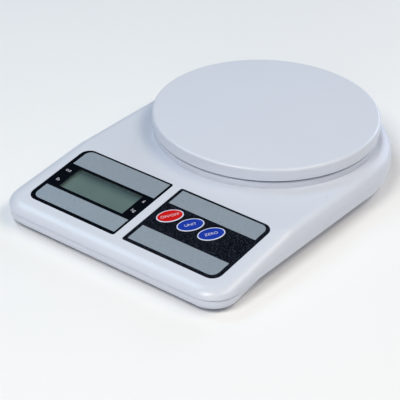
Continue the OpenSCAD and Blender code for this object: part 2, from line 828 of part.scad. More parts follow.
module lower_spacer() {
    spacer(-1, seat_z);
}

module load_cell() {
    color("#c9ccd1") difference() {
        at_platter() block([-bar_l / 2, bar_l / 2], [-bar_w / 2, bar_w / 2], [bar_z, bar_top_z]);
        at_platter() {
            for (s = [-1, 1]) translate([s * bar_hole_pitch / 2, 0, bar_z + bar_h / 2]) rotate([90, 0, 0])
                cylinder(d = bar_hole_d, h = 2 * bar_w, center = true, $fn = smooth);
            translate([0, 0, bar_z + bar_h / 2])
                cube([bar_hole_pitch, 2 * bar_w, bar_hole_d / 3], center = true);
        }
        for (side = [-1, 1]) at_threads(side) rod(thread_d / 2, bar_z - 1, bar_top_z + 1);
    }
}

module gauge_sealant() {
    color("#f3f3ee") at_platter() {
        block([-gauge_l / 2, gauge_l / 2], [-bar_w / 2, bar_w / 2], [bar_top_z, bar_top_z + sealant_t]);
        block([-gauge_l / 2, gauge_l / 2], [-bar_w / 2, bar_w / 2], [bar_z - sealant_t, bar_z]);
        block([-gauge_l / 2, gauge_l / 2], [-bar_w / 2 - sealant_side, -bar_w / 2],
            [bar_z - sealant_t, bar_top_z + sealant_t]);
    }
}

module fixed_end_screws() {
    head_z = seat_z - cell_seat_skin;
    color(steel) at_threads(-1) {
        rod(cell_screw_d / 2, head_z, head_z + cell_screw_l);
        rod(cell_head_d / 2, head_z - cell_head_h, head_z);
    }
}

module moving_end_screws() {
    head_z = carrier_z - moving_head_depth;
    color(steel) at_threads(1) {
        rod(cell_screw_d / 2, bar_top_z - moving_screw_depth, head_z);
        rod(cell_head_d / 2, head_z, head_z + cell_head_h);
    }
}

module display_label() {
    color("#1a1c20") on_panel() difference() {
        mirror([1, 0, 0]) slab(-label_t, 0) label_shape(0);
        block([window_x, window_x + window_w], [window_v, window_v + window_l], [-1, 1]);
    }
}

module keypad_label() {
    color("#1a1c20") difference() {
        on_panel() slab(-label_t, 0) label_shape(0);
        for (i = [0:2]) at_key(i) slab(-1, 1) key_shape(key_gap);
    }
}

module display_window() {
    color([0.8, 0.85, 0.85, 0.4]) on_panel()
        block([window_x - window_ledge, window_x + window_w + window_ledge],
            [window_v - window_ledge, window_v + window_l + window_ledge],
            [-label_t - window_t, -label_t]);
}

module display_glass() {
    color("#8f9a94") on_panel() {
        block([glass_x, glass_x + glass_w], [glass_v, glass_v + glass_l], [-wall_t - sheet_t, -wall_t]);
        block([glass_x, glass_x + glass_w], [glass_v, glass_v + glass_l - contact_ledge],
            [-wall_t - 2 * sheet_t, -wall_t - sheet_t]);
    }
}

module display_holder() {
    top = -wall_t;
    color("#eceef2") on_panel() difference() {
        block([glass_x - holder_t, glass_x + glass_w + holder_t],
            [glass_v - holder_t, glass_v + glass_l + holder_t], [-board_depth, top]);
        block([glass_x, glass_x + glass_w], [glass_v, glass_v + glass_l],
            [top - 2 * sheet_t, top + 1]);
        block([glass_x + holder_inner, glass_x + glass_w - holder_inner],
            [glass_v + holder_inner, glass_v + glass_l - contact_ledge - holder_inner],
            [-board_depth - 1, top]);
        block([glass_x + holder_inner - strip_gap, glass_x + glass_w - holder_inner + strip_gap],
            [strip_v - strip_gap, strip_v + strip_w + strip_gap], [-board_depth - 1, top]);
    }
}

module contact_strip() {
    color("#d98aa0") on_panel()
        block([glass_x + holder_inner, glass_x + glass_w - holder_inner], [strip_v, strip_v + strip_w],
            [-board_depth, -wall_t - sheet_t]);
}

module main_board() {
    color("#2f7d46") on_panel() difference() {
        block(board_x, [-board_back - board_l, -board_back], [board_bottom, -board_depth]);
        for (p = board_holes) translate(p)
            rod(board_screw_d / 2 + head_play, board_bottom - 1, -board_depth + 1);
    }
}

// Drop of resin over the chip, under the board
module chip_cap() {
    ball_r = (chip_r * chip_r + chip_h * chip_h) / (2 * chip_h);
    color("#141416") on_panel() translate([chip_at.x, chip_at.y, board_bottom])
        rotate_extrude($fn = smooth) intersection() {
            translate([0, ball_r - chip_h]) circle(ball_r, $fn = 128);
            translate([0, -chip_h - 1]) square([chip_r + 1, chip_h + 1]);
        }
}

// Capacitor and crystal between the display and the keys
module board_parts() {
    color("#3a4350") on_panel() {
        translate([0, -board_back - capacitor_back])
            rod(capacitor_r, -board_depth, -board_depth + capacitor_h);
        block([-crystal_w / 2, crystal_w / 2], [-board_back - crystal_back[0], -board_back - crystal_back[1]],
            [-board_depth, -board_depth + crystal_h]);
    }
}

module board_screws() {
    color(steel) on_panel() for (p = board_holes) translate(p) {
        rod(board_screw_d / 2, board_bottom, -wall_t - 1);
        rod(board_head_d / 2, board_bottom - board_head_h, board_bottom);
    }
}

module switch_bodies() {
    color("#26282c") for (i = [0:2]) at_key(i) difference() {
        block([-switch_w / 2, switch_w / 2], [-switch_w / 2, switch_w / 2],
            [-board_depth, -board_depth + switch_h]);
        rod(plunger_d / 2 + plunger_fit, -board_depth + switch_h - plunger_sunk - key_travel - 0.1, 0);
    }
}

module plunger(i) {
    color("#e9e6dc") at_key(i) rod(plunger_d / 2, -board_depth + switch_h - plunger_sunk, plunger_top);
}

module key(i, shade) {
    lip_top = -wall_t - key_top_play;
    color(shade) at_key(i) {
        difference() {
            slab(lip_top - key_lip_t, key_rise) key_shape(0);
            slab(key_rise - key_field, key_rise + 1) key_shape(-key_rim);
        }
        slab(lip_top - key_lip_t, lip_top) key_shape(key_lip);
        rod(plunger_d / 2, plunger_top, lip_top);
    }
}

module power_key() {
    key(0, "#d3161c");
}

module mode_key() {
    key(1, "#1d35c4");
}

module tare_key() {
    key(2, "#1d35c4");
}

module power_plunger() {
    plunger(0);
}

module mode_plunger() {
    plunger(1);
}

module tare_plunger() {
    plunger(2);
}

module case_screws() {
    color(steel) for (p = concat(front_bosses, middle_bosses, rear_bosses)) translate(p) {
        rod(case_screw_d / 2, case_seat_z, case_seat_z + case_screw_l);
        rod(case_head_d / 2, case_seat_z - case_head_h, case_seat_z);
    }
}

module battery_door() {
    half_l = bay_l / 2 + door_ledge - door_gap;
    front = bay_y - bay_w / 2 - door_ledge + door_gap;
    color(white) {
        difference() {
            block([-half_l, half_l], [front, door_pin_y], [stand_h, door_z]);
            translate([0, front + grip_r, stand_h + grip_depth - grip_r]) rotate([0, 90, 0])
                cylinder(r = grip_r, h = grip_w, center = true, $fn = smooth);
        }
        translate([0, door_pin_y, door_pin_z]) rotate([0, 90, 0])
            cylinder(d = door_t, h = 2 * half_l, center = true, $fn = smooth);
        translate([0, door_pin_y, door_pin_z]) rotate([0, 90, 0])
            cylinder(d = door_pin_d, h = 2 * (half_l + door_pin_l), center = true, $fn = smooth);
        block([-latch_w / 2, latch_w / 2], [front + latch_set, front + latch_set + latch_t],
            [door_z - tiny, latch_top]);
    }
}

module cell(side) {
    turn = side < 0 ? 0 : 180;
    nub_end = bay_l / 2 - contact_t;
    color("#3c6e54") translate([0, bay_y + side * cell_pitch / 2, cell_z]) rotate(turn)
        translate([nub_end, 0, 0]) rotate([0, -90, 0]) {
            rod(nub_d / 2, 0, nub_h + 1);
            rod(cell_d / 2, nub_h, cell_l);
        }
}

module battery_front() {
    cell(-1);
}

module battery_back() {
    cell(1);
}

// A contact plate against the inside of the bay's right end, with its tab through the wall
module end_plate(side) {
    inner = bay_l / 2;
    translate([0, bay_y + side * cell_pitch / 2, 0]) {
        block([inner - contact_t, inner], [-plate_w / 2, plate_w / 2], plate_z);
        block([inner - contact_t, tab_x], [-tab_w / 2, tab_w / 2],
            [tab_z - contact_t / 2, tab_z + contact_t / 2]);
        block([tab_x - contact_t, tab_x], [-tab_w / 2, tab_w / 2],
            [tab_z - tab_pad_h / 2, tab_z + tab_pad_h / 2]);
    }
}

// A spring that starts on a plate at x and reaches towards the middle of the bay
module spring(side, end) {
    start = bay_l / 2 - contact_t;
    reach = spring_l - spring_wire_d;
    path = [for (i = [0:spring_turns * spring_steps])
        let (t = i / (spring_turns * spring_steps), a = 360 * spring_turns * t,
            r = spring_r[0] + (spring_r[1] - spring_r[0]) * t)
        [start - spring_wire_d / 2 + tiny - reach * t, r * cos(a), r * sin(a)]];
    translate([0, bay_y + side * cell_pitch / 2, cell_z]) mirror([end < 0 ? 1 : 0, 0, 0])
        tube(path, spring_wire_d / 2, spring_sides);
}

module positive_contact() {
    color(steel) end_plate(-1);
}

module negative_contact() {
    color(steel) {
        end_plate(1);
        spring(1, 1);
    }
}

module link_contact() {
    inner = -bay_l / 2;
    color(steel) {
        block([inner, inner + contact_t], [bay_y - cell_pitch / 2 - plate_w / 2,
            bay_y + cell_pitch / 2 + plate_w / 2], plate_z);
        spring(-1, -1);
    }
}

module load_cell_cable() {
    color("#dcdcd6") tube(rounded_route(cable_route), cable_d / 2, wire_sides);
}

module battery_wire_red() {
    color("#c02020") tube(rounded_route(red_route), wire_d / 2, wire_sides);
}

module battery_wire_black() {
    color("#202020") tube(rounded_route(black_route), wire_d / 2, wire_sides);
}

module at_feet() {
    for (p = [foot_front, foot_back]) mirrored() translate(p) children();
}

module foot(p) {
    edge = 0.4;
    color(rubber) translate(p) {
        rod(foot_d / 2 - edge, 0, stand_h + foot_seat);
        rod(foot_d / 2, edge, stand_h + foot_seat);
    }
}

module foot_front_left() {
    foot([-foot_front.x, foot_front.y]);
}

module foot_front_right() {
    foot(foot_front);
}

module foot_back_left() {
    foot([-foot_back.x, foot_back.y]);
}

module foot_back_right() {
    foot(foot_back);
}

top_cover();
bottom_cover();
platter();
platform_carrier();
upper_spacer();
lower_spacer();
load_cell();
gauge_sealant();
fixed_end_screws();
moving_end_screws();
display_label();
keypad_label();
display_window();
display_glass();
display_holder();
contact_strip();
main_board();
chip_cap();
board_parts();
board_screws();
switch_bodies();
power_key();
mode_key();
tare_key();
power_plunger();
mode_plunger();
tare_plunger();
case_screws();
battery_door();
battery_front();
battery_back();
positive_contact();
negative_contact();
link_contact();
load_cell_cable();
battery_wire_red();
battery_wire_black();
foot_front_left();
foot_front_right();
foot_back_left();
foot_back_right();
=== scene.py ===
import math

import bpy
from mathutils import Matrix, Vector


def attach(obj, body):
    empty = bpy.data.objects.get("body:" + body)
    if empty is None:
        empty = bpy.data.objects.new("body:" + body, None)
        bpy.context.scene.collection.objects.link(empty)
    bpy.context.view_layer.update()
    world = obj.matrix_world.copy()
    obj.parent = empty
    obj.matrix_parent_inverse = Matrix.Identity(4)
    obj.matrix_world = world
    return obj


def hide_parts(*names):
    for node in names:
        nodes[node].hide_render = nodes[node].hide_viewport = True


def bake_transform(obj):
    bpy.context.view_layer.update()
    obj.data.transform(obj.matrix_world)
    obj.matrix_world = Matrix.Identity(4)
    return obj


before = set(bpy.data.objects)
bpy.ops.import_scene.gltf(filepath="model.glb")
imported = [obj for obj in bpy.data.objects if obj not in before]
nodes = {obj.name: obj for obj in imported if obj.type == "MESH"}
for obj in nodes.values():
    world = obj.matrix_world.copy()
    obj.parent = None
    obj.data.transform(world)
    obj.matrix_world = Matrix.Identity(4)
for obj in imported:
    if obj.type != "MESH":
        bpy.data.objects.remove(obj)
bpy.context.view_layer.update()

# Lengths are in millimetres unless a comment says metres. MM turns them into metres
MM = 0.001

# In metres: points closer than TOUCH count as level with each other, and closer than WELD they are merged
TOUCH = 0.00001
WELD = 0.000001

# A face looks along an axis where its normal has more than FACING of it, and is a side with less than SIDE
FACING = 0.99
SIDE = 0.5

# Camera at the viewing angle of the photograph: its place is in metres, its lens and film in millimetres
CAMERA_PLACE = Vector((0.5227, -0.7211, 0.5424))
CAMERA_AZIMUTH = math.radians(36.95)
CAMERA_ELEVATION = math.radians(31.79)
CAMERA_ROLL = math.radians(1.51)
CAMERA_LENS = 153.35
CAMERA_FILM = 36

# Floor size and distance of the soft boxes, in metres
FLOOR_SIZE = 3
LIGHT_DISTANCE = 1.5

# The sloped panel: x to the right, v up the slope from the crease, w out of the surface
CREASE_Y = -47.5 * MM
DECK_Z = 23.3 * MM
PANEL_SLOPE = math.radians(7.8)
PANEL = Matrix.Translation((0, CREASE_Y, DECK_Z)) @ Matrix.Rotation(PANEL_SLOPE, 4, "X")
UPRIGHT = Matrix.Identity(4)

# Opening of the display on the panel, the margin and depth that tell its walls (which get painted shade),
# and the length of the painted shade at the back of the display
WINDOW_LEFT = -60.2
WINDOW_RIGHT = -11.2
WINDOW_FRONT = -38.4
WINDOW_BACK = -18.6
WINDOW_MARGIN = 2
WINDOW_RIM = -0.55
PAINTED_SHADE_LONG = 7

# Print on the panel: how far it stands out and how far it is sunk in the film
PRINT_PROUD = 0.03
PRINT_SUNK = 0.02

# Silver stripes: name, slot, left, right, front and back edge, and the side and end of the round corner
STRIPE_OUTER = 67.0
STRIPE_ROUND = 4.6
STRIPES = [
    ("display_stripe_back", "label_display", -STRIPE_OUTER, -4.7, -17.2, -2.0, -1, 1),
    ("display_stripe_front", "label_display", -STRIPE_OUTER, -4.5, -53.7, -40.9, -1, -1),
    ("keypad_stripe_back", "label_keypad", 5.1, STRIPE_OUTER, -15.6, -2.2, 1, 1),
    ("keypad_stripe_front", "label_keypad", 5.5, STRIPE_OUTER, -53.6, -39.9, 1, -1),
]

# Letters: how far they stand out and are sunk, and how much thinner a stroke is, as a share of their height
LETTER_PROUD = 0.04
LETTER_SUNK = 0.01
LETTER_THINNER = 0.006
KEY_WORD_HEIGHT = 3.1
KEY_WORD_SUNK = 0.02

# Unit marks beside the display: name, letters, height, and place on the panel
UNIT_MARKS = [
    ("unit_mark_a", "oz", 4.0, -64.7, -23.8),
    ("unit_mark_b", "lb", 3.6, -64.4, -33.9),
    ("unit_mark_c", "g", 3.4, -7.7, -22.2),
    ("unit_mark_d", "kg", 3.4, -7.6, -32.4),
]

# Key caps: an oval turned on the panel, its edge and ring, and the sunk field that rises in two steps
KEY_V = -25.4
KEY_TURN = math.radians(53)
KEY_LONG = 16.2
KEY_SHORT = 10.9
KEY_TOP = 0.7
KEY_BASE = -3.6
KEY_EDGE = 0.2
KEY_RING = 0.4
FIELD_WALL = 0.18
FIELD_SUNK = 0.12
FIELD_RISES = [(1.4, 0.07), (1.6, 0.03)]

# Screws: places in the frame for the case and the load cell, and on the panel for the board
CASE_SCREWS = [
    (-64.75, -100), (64.75, -100),
    (-64.75, -30), (64.75, -30),
    (-42.26, 84.12), (42.26, 84.12),
]
BOARD_SCREWS = [(-68.1, -12.72), (-68.1, -38.32), (54.3, -12.72), (54.3, -38.32)]
FIXED_SCREWS = [(-35, 39.5), (-20, 39.5)]
MOVING_SCREWS = [(20, 39.5), (35, 39.5)]

# Screw heads: node, piece, body, plane, way that they face, places, width and depth of the cross, and edge
SCREW_HEADS = [
    ("case_screws", "cover_screws", "housing", UPRIGHT, -1, CASE_SCREWS, 3.4, 1.0, 0.5),
    ("board_screws", "circuit_screws", "housing", PANEL, -1, BOARD_SCREWS, 2.4, 0.7, 0.35),
    ("fixed_end_screws", "bar_screws_below", "housing", UPRIGHT, -1, FIXED_SCREWS, 4.2, 1.2, 0.6),
    ("moving_end_screws", "bar_screws_above", "platform", UPRIGHT, 1, MOVING_SCREWS, 4.2, 1.2, 0.6),
]
CROSS_ARM = 0.26
CROSS_BOTTOM = 0.72

# Feet: edges below FOOT_LOW are rounded, and a groove lies inside the border of the sole
FOOT_LOW = 0.45
FOOT_ROUND = 0.16
SOLE_BORDER = 1.4
GROOVE_DEEP = 0.3
GROOVE_WIDE = 0.9

# Cells: the line between the two, where the band of each starts, and the roll and bare metal of its ends
CELL_SPLIT = -8.0
CELL_BAND = 12.0
CELL_ROLL = 0.45
CELL_METAL = 0.6

# Bar of the load cell: it bends between -BEND_END and BEND_END, with rings of points at the steps
BEND_END = 13.0
BEND_STEPS = (-8.5, -4, 0, 4, 8.5)


# Working with pieces
def clear_selection():
    """Leaves edit mode and deselects every object."""
    if bpy.context.object and bpy.context.object.mode != "OBJECT":
        object_mode()
    for piece in bpy.context.selected_objects:
        piece.select_set(False)


def object_mode():
    bpy.ops.object.mode_set(mode="OBJECT")


def edit_mode():
    bpy.ops.object.mode_set(mode="EDIT")


def pick(piece):
    """Makes a piece the only one selected."""
    clear_selection()
    bpy.context.view_layer.objects.active = piece
    piece.select_set(True)


def name_piece(name):
    """Names the piece that was just added."""
    piece = bpy.context.object
    piece.name = name
    piece.data.name = name
    return piece


def new_object(name, data):
    """A new object of a mesh, lamp or camera, in the scene."""
    made = bpy.data.objects.new(name, data)
    bpy.context.scene.collection.objects.link(made)
    data.name = name
    return made


def settle(piece):
    """Puts the place, turn and size of a piece into its mesh."""
    pick(piece)
    bpy.ops.object.transform_apply(location=True, rotation=True, scale=True)


def deselect_mesh(piece, kind):
    """Deselects all points, edges or faces of a piece, and leaves it in object mode."""
    pick(piece)
    edit_mode()
    bpy.ops.mesh.select_mode(type=kind)
    bpy.ops.mesh.select_all(action="DESELECT")
    object_mode()


def select_faces(piece, test):
    """Opens edit mode with the faces selected whose centre and normal pass the test."""
    deselect_mesh(piece, "FACE")
    for face in piece.data.polygons:
        face.select = test(face.center, face.normal)
    edit_mode()


def select_edges(piece, test):
    """Opens edit mode with the edges selected whose two ends pass the test."""
    deselect_mesh(piece, "EDGE")
    points = piece.data.vertices
    for edge in piece.data.edges:
        edge.select = test(points[edge.vertices[0]].co, points[edge.vertices[1]].co)
    edit_mode()


def select_points(piece, test):
    """Opens edit mode with the points selected that pass the test."""
    deselect_mesh(piece, "VERT")
    for point in piece.data.vertices:
        point.select = test(point.co)
    edit_mode()


def finish_piece(piece, body, slot, *finishes):
    """Gives a piece its finishes and its body; the slot is not used. Each face keeps the number of its
    finish.
    """
    numbers = [face.material_index for face in piece.data.polygons]
    piece.data.materials.clear()
    for finish in finishes:
        piece.data.materials.append(finish)
    for face, number in zip(piece.data.polygons, numbers):
        face.material_index = number
    if body:
        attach(piece, body)


# Working with shader nodes: sockets of the Mix node are told by number, because their names repeat
MIX_SHARE = 0
MIX_PLACE_A = 4
MIX_PLACE_B = 5
MIX_PLACE_OUT = 1
MIX_COLOUR_A = 6
MIX_COLOUR_B = 7
MIX_COLOUR_OUT = 2


def feed(tree, socket, source):
    """Sets a socket to a number or a colour, or links it to an output."""
    if isinstance(source, bpy.types.NodeSocket):
        tree.links.new(source, socket)
    elif socket.type == "RGBA":
        socket.default_value = (*source, 1)
    else:
        socket.default_value = source


def add(tree, kind, inputs, **settings):
    """Adds a node with its settings and feeds its inputs."""
    node = tree.nodes.new(kind)
    for key, value in settings.items():
        setattr(node, key, value)
    for key, source in inputs.items():
        feed(tree, node.inputs[key], source)
    return node.outputs


def place_group(tree, group, **inputs):
    return add(tree, "ShaderNodeGroup", inputs, node_tree=group)


def object_place(tree):
    """Place on the piece, in metres of the frame."""
    return add(tree, "ShaderNodeTexCoord", {})["Object"]


def object_axes(tree):
    """X, Y and Z of the place on the piece."""
    return add(tree, "ShaderNodeSeparateXYZ", {"Vector": object_place(tree)})


def noise(tree, place, scale, detail):
    return add(tree, "ShaderNodeTexNoise", {"Vector": place, "Scale": scale, "Detail": detail})


def bands(tree, scale, direction, **inputs):
    """Straight bands that follow each other in a direction."""
    inputs = {"Vector": object_place(tree), "Scale": scale, **inputs}
    return add(tree, "ShaderNodeTexWave", inputs, wave_type="BANDS", bands_direction=direction)["Fac"]


def calculate(tree, operation, *terms):
    """One step of arithmetic."""
    return add(tree, "ShaderNodeMath", dict(enumerate(terms)), operation=operation)[0]


def rescale(tree, value, low, high, start=0.0, end=1.0, **settings):
    """Turns low to high into start to end, and goes no further at both ends."""
    inputs = {"Value": value, "From Min": low, "From Max": high, "To Min": start, "To Max": end}
    return add(tree, "ShaderNodeMapRange", inputs, **settings)[0]


def mix_colour(tree, share, first, second):
    """Goes from the first colour to the second by share."""
    inputs = {MIX_SHARE: share, MIX_COLOUR_A: first, MIX_COLOUR_B: second}
    return add(tree, "ShaderNodeMix", inputs, data_type="RGBA")[MIX_COLOUR_OUT]


# Shader groups that several finishes share
def new_group(name, inputs, results):
    """A group with its inputs and results, all of them numbers."""
    tree = bpy.data.node_groups.new(name, "ShaderNodeTree")
    for label, value in inputs.items():
        socket = tree.interface.new_socket(name=label, in_out="INPUT", socket_type="NodeSocketFloat")
        socket.default_value = value
    for label in results:
        tree.interface.new_socket(name=label, in_out="OUTPUT", socket_type="NodeSocketFloat")
    given = tree.nodes.new("NodeGroupInput").outputs
    result = tree.nodes.new("NodeGroupOutput").inputs
    return tree, given, result


def moulded_skin_group():
    """Fine grain of a moulded surface and a broad change of tone over it."""
    tree, given, result = new_group("moulded_skin", {"Grain": 2600.0, "Spread": 14.0}, ["Height", "Tone"])
    place = object_place(tree)
    feed(tree, result["Height"], noise(tree, place, given["Grain"], 3.0)["Fac"])
    feed(tree, result["Tone"], noise(tree, place, given["Spread"], 2.0)["Fac"])
    return tree


def handling_group():
    """Faint wiped smudges where hands and cloths pass."""
    tree, given, result = new_group("handling_marks", {"Scale": 22.0, "Amount": 0.3}, ["Smudge"])
    place = object_place(tree)
    drift = noise(tree, place, 9.0, 2.0)["Color"]
    inputs = {MIX_SHARE: 0.12, MIX_PLACE_A: place, MIX_PLACE_B: drift}
    wiped = add(tree, "ShaderNodeMix", inputs, data_type="VECTOR")[MIX_PLACE_OUT]
    patch = noise(tree, wiped, given["Scale"], 5.0)["Fac"]
    smudge = calculate(tree, "MULTIPLY", rescale(tree, patch, 0.45, 0.75), given["Amount"])
    feed(tree, result["Smudge"], smudge)
    return tree


def speck_group():
    """A few specks: one at most in each cell of the pattern, and none in most cells."""
    tree, given, result = new_group("mould_specks", {"Scale": 95.0, "Size": 0.036}, ["Speck"])
    cells = add(tree, "ShaderNodeTexVoronoi", {"Vector": object_place(tree), "Scale": given["Scale"]})
    near = calculate(tree, "LESS_THAN", cells["Distance"], given["Size"])
    lot = add(tree, "ShaderNodeSeparateColor", {"Color": cells["Color"]})["Red"]
    rare = calculate(tree, "GREATER_THAN", lot, 0.91)
    feed(tree, result["Speck"], calculate(tree, "MULTIPLY", near, rare))
    return tree


def drawn_lines_group():
    """Drawn lines of rolled or turned metal."""
    tree, given, result = new_group("drawn_lines", {"Across": 2500.0, "Along": 60.0}, ["Line"])
    axes = object_axes(tree)
    drawn = add(tree, "ShaderNodeCombineXYZ", {
        "X": calculate(tree, "MULTIPLY", axes["X"], given["Along"]),
        "Y": calculate(tree, "MULTIPLY", axes["Y"], given["Across"]),
        "Z": calculate(tree, "MULTIPLY", axes["Z"], given["Across"]),
    })["Vector"]
    feed(tree, result["Line"], noise(tree, drawn, 1.0, 3.0)["Fac"])
    return tree


MOULDED_SKIN = moulded_skin_group()
HANDLING = handling_group()
SPECKS = speck_group()
DRAWN_LINES = drawn_lines_group()


# Finishes
def start_material(name, **sockets):
    """A material, its nodes and its shader's inputs, set where they are the same all over."""
    finish = bpy.data.materials.new(name)
    finish.use_nodes = True
    tree = finish.node_tree
    shader = tree.nodes["Principled BSDF"].inputs
    for key, value in sockets.items():
        feed(tree, shader[key.replace("_", " ")], value)
    return finish, tree, shader


def set_roughness(tree, shader, share, rough):
    feed(tree, shader["Roughness"], rescale(tree, share, 0.0, 1.0, *rough))


def set_bump(tree, shader, height, depth):
    inputs = {"Strength": 1.0, "Distance": depth * MM, "Height": height}
    feed(tree, shader["Normal"], add(tree, "ShaderNodeBump", inputs)["Normal"])


def moulded_plastic(name, dark, light, rough=(0.28, 0.37), grain=2600.0, depth=0.012, specks=False,
        **sockets):
    """Plastic, rubber or lacquer: grain in its bump, a broad change of tone, and smudges in its gloss."""
    finish, tree, shader = start_material(name, **sockets)
    skin = place_group(tree, MOULDED_SKIN, Grain=grain)
    marks = place_group(tree, HANDLING)
    colour = mix_colour(tree, skin["Tone"], dark, light)
    if specks:
        dots = place_group(tree, SPECKS)
        colour = mix_colour(tree, dots["Speck"], colour, (0.30, 0.31, 0.34))
    feed(tree, shader["Base Color"], colour)
    set_roughness(tree, shader, marks["Smudge"], rough)
    set_bump(tree, shader, skin["Height"], depth)
    return finish


def film(name, dark, light, rough, grain, depth, low=0.35, high=0.75, **sockets):
    """Printed label film: speckle in its colour between two levels of the grain, and a light emboss."""
    finish, tree, shader = start_material(name, **sockets)
    skin = place_group(tree, MOULDED_SKIN, Grain=grain)
    marks = place_group(tree, HANDLING, Scale=30.0)
    speckle = rescale(tree, skin["Height"], low, high)
    feed(tree, shader["Base Color"], mix_colour(tree, speckle, dark, light))
    set_roughness(tree, shader, marks["Smudge"], rough)
    set_bump(tree, shader, skin["Height"], depth)
    return finish


def metal(name, dark, light, rough, across=2500.0, along=60.0):
    """Metal with drawn lines in its colour, gloss and bump."""
    finish, tree, shader = start_material(name, Metallic=1.0)
    lines = place_group(tree, DRAWN_LINES, Across=across, Along=along)
    feed(tree, shader["Base Color"], mix_colour(tree, lines["Line"], dark, light))
    set_roughness(tree, shader, lines["Line"], rough)
    set_bump(tree, shader, lines["Line"], 0.006)
    return finish


def display_face():
    """Reflective display: grey-green in the middle, with painted shade that makes it darker and bluer
    towards its back edge, and dust.
    """
    finish, tree, shader = start_material("display_face", Coat_Weight=0.4)
    # Painted shade: the shadow of the opening's back wall, painted onto the display as a darker, bluer band
    painted_shade_start = CREASE_Y + (WINDOW_BACK - PAINTED_SHADE_LONG) * MM
    painted_shade_end = CREASE_Y + WINDOW_BACK * MM
    shade = rescale(tree, object_axes(tree)["Y"], painted_shade_start, painted_shade_end, interpolation_type="SMOOTHSTEP")
    skin = place_group(tree, MOULDED_SKIN, Grain=900.0, Spread=60.0)
    dust = place_group(tree, SPECKS, Scale=300.0, Size=0.17)
    colour = mix_colour(tree, skin["Tone"], (0.140, 0.214, 0.208), (0.164, 0.248, 0.241))
    colour = mix_colour(tree, shade, colour, (0.085, 0.138, 0.148))
    colour = mix_colour(tree, dust["Speck"], colour, (0.34, 0.42, 0.41))
    feed(tree, shader["Base Color"], colour)
    set_roughness(tree, shader, skin["Tone"], (0.30, 0.40))
    set_bump(tree, shader, skin["Height"], 0.002)
    return finish


def clear_pane():
    """Clear window: little more than its gloss, with faint smudges."""
    finish, tree, shader = start_material("clear_pane", Base_Color=(0.02, 0.03, 0.03))
    skin = place_group(tree, MOULDED_SKIN, Grain=500.0)
    marks = place_group(tree, HANDLING, Scale=60.0)
    feed(tree, shader["Alpha"], rescale(tree, marks["Smudge"], 0.0, 1.0, 0.08, 0.16))
    set_roughness(tree, shader, marks["Smudge"], (0.03, 0.08))
    set_bump(tree, shader, skin["Height"], 0.002)
    return finish


def board_laminate():
    """Green solder resist over glass cloth, with lighter copper tracks under it."""
    finish, tree, shader = start_material("board_laminate", Coat_Weight=0.3)
    cloth = add(tree, "ShaderNodeTexBrick", {
        "Vector": object_place(tree),
        "Scale": 900.0,
        "Color1": (0.012, 0.115, 0.040),
        "Color2": (0.018, 0.150, 0.052),
        "Mortar": (0.010, 0.090, 0.034),
    })["Color"]
    lines = bands(tree, 170.0, "DIAGONAL", Distortion=1.4, Detail=0.0)
    tracks = rescale(tree, lines, 0.86, 0.93)
    marks = place_group(tree, HANDLING)
    feed(tree, shader["Base Color"], mix_colour(tree, tracks, cloth, (0.034, 0.205, 0.070)))
    set_roughness(tree, shader, marks["Smudge"], (0.25, 0.40))
    set_bump(tree, shader, tracks, 0.03)
    return finish


def cell_wrap():
    """Sleeve of a cell: dark body and a copper-coloured band at the plus end.

    The plus end of the front cell is at the right, and that of the back cell at the left."""
    finish, tree, shader = start_material("cell_wrap", Metallic=0.45, Coat_Weight=0.4)
    skin = place_group(tree, MOULDED_SKIN, Grain=900.0, Spread=50.0)
    colour = mix_colour(tree, skin["Tone"], (0.020, 0.075, 0.045), (0.028, 0.095, 0.058))
    axes = object_axes(tree)
    back_cell = calculate(tree, "GREATER_THAN", axes["Y"], CELL_SPLIT * MM)
    way = calculate(tree, "MULTIPLY_ADD", back_cell, -2.0, 1.0)
    along = calculate(tree, "MULTIPLY", axes["X"], way)
    band = calculate(tree, "GREATER_THAN", along, CELL_BAND * MM)
    feed(tree, shader["Base Color"], mix_colour(tree, band, colour, (0.62, 0.33, 0.17)))
    set_roughness(tree, shader, skin["Tone"], (0.22, 0.32))
    set_bump(tree, shader, skin["Height"], 0.004)
    return finish


def striped_rubber():
    """Contact strip: pink silicone with the fine dark layers that carry the current."""
    finish, tree, shader = start_material("striped_rubber")
    layers = rescale(tree, bands(tree, 520.0, "X"), 0.55, 0.80)
    skin = place_group(tree, MOULDED_SKIN, Grain=1500.0)
    feed(tree, shader["Base Color"], mix_colour(tree, layers, (0.62, 0.29, 0.34), (0.10, 0.05, 0.06)))
    set_roughness(tree, shader, skin["Height"], (0.5, 0.65))
    return finish


COVER = moulded_plastic("white_cover", (0.620, 0.662, 0.758), (0.650, 0.692, 0.788), specks=True)
PLATTER = moulded_plastic("white_platter", (0.645, 0.688, 0.783), (0.675, 0.718, 0.813),
    grain=2200.0, specks=True)
CARRIER = moulded_plastic("white_inner", (0.62, 0.66, 0.74), (0.68, 0.72, 0.80))
RUBBER = moulded_plastic("foot_rubber", (0.030, 0.030, 0.032), (0.050, 0.050, 0.052),
    rough=(0.6, 0.8), depth=0.03)
SWITCH = moulded_plastic("switch_black", (0.014, 0.015, 0.017), (0.024, 0.025, 0.028))
CREAM = moulded_plastic("plunger_cream", (0.70, 0.66, 0.56), (0.78, 0.74, 0.64))
CASING = moulded_plastic("part_case", (0.030, 0.036, 0.050), (0.045, 0.052, 0.070))
SEALANT = moulded_plastic("gauge_sealant", (0.76, 0.76, 0.73), (0.86, 0.86, 0.83),
    rough=(0.5, 0.65), grain=400.0, depth=0.08)
RESIN = moulded_plastic("chip_resin", (0.004, 0.004, 0.005), (0.010, 0.010, 0.011),
    rough=(0.15, 0.3), grain=300.0, depth=0.03)
SHEATH_WHITE = moulded_plastic("cable_sheath", (0.66, 0.66, 0.63), (0.74, 0.74, 0.71), rough=(0.45, 0.6))
SHEATH_RED = moulded_plastic("wire_red", (0.45, 0.015, 0.015), (0.55, 0.025, 0.02), rough=(0.4, 0.5))
SHEATH_BLACK = moulded_plastic("wire_black", (0.008, 0.008, 0.008), (0.014, 0.014, 0.014), rough=(0.4, 0.5))
